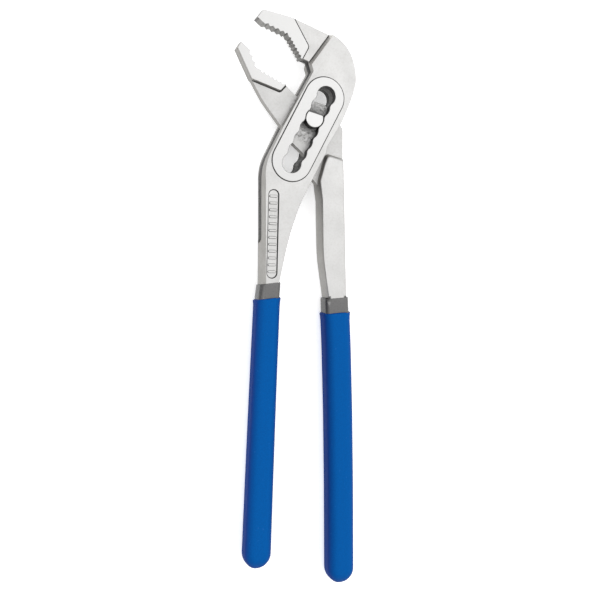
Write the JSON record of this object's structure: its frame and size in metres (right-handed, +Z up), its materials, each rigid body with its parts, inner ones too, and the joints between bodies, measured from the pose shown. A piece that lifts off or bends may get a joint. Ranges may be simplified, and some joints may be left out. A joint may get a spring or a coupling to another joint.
{
  "type": "tongue and groove pliers",
  "caption": "Long-handled water pump pliers with a through box joint, a D-shaped pivot pin in a scalloped adjusting slot, toothed offset jaws and double-dipped handles.",
  "frame": {"origin": "on the pivot pin's axis, in the plane of the rear face that the pliers lie on", "axes": "+Y from the handles to the jaws, +X towards the inner arm's handle, +Z up through the thickness, out of the front face"},
  "size_m": [0.0532, 0.2524, 0.012],
  "materials": {
    "plated_steel": "satin",
    "pin_steel": "satin",
    "grey_coat": "gloss",
    "blue_coat": "matte"
  },
  "bodies": {
    "slotted_arm": {"slotted_arm": "plated_steel", "slotted_arm_first_coat": "grey_coat", "slotted_arm_grip": "blue_coat"},
    "pivot_pin": {"pivot_pin": "pin_steel"},
    "inner_arm": {"inner_arm": "plated_steel", "inner_arm_first_coat": "grey_coat", "inner_arm_grip": "blue_coat"}
  },
  "joints": [
    {"name": "seat_slide", "type": "slide", "parent": "slotted_arm", "child": "pivot_pin", "axis": [-0.4695, -0.8829, 0], "range_m": [-0.0112, 0.0224]},
    {"name": "jaw_hinge", "type": "hinge", "parent": "pivot_pin", "child": "inner_arm", "pos_m": [0, 0, 0.006], "axis": [0, 0, 1], "range_deg": [-2, 58]}
  ]
}
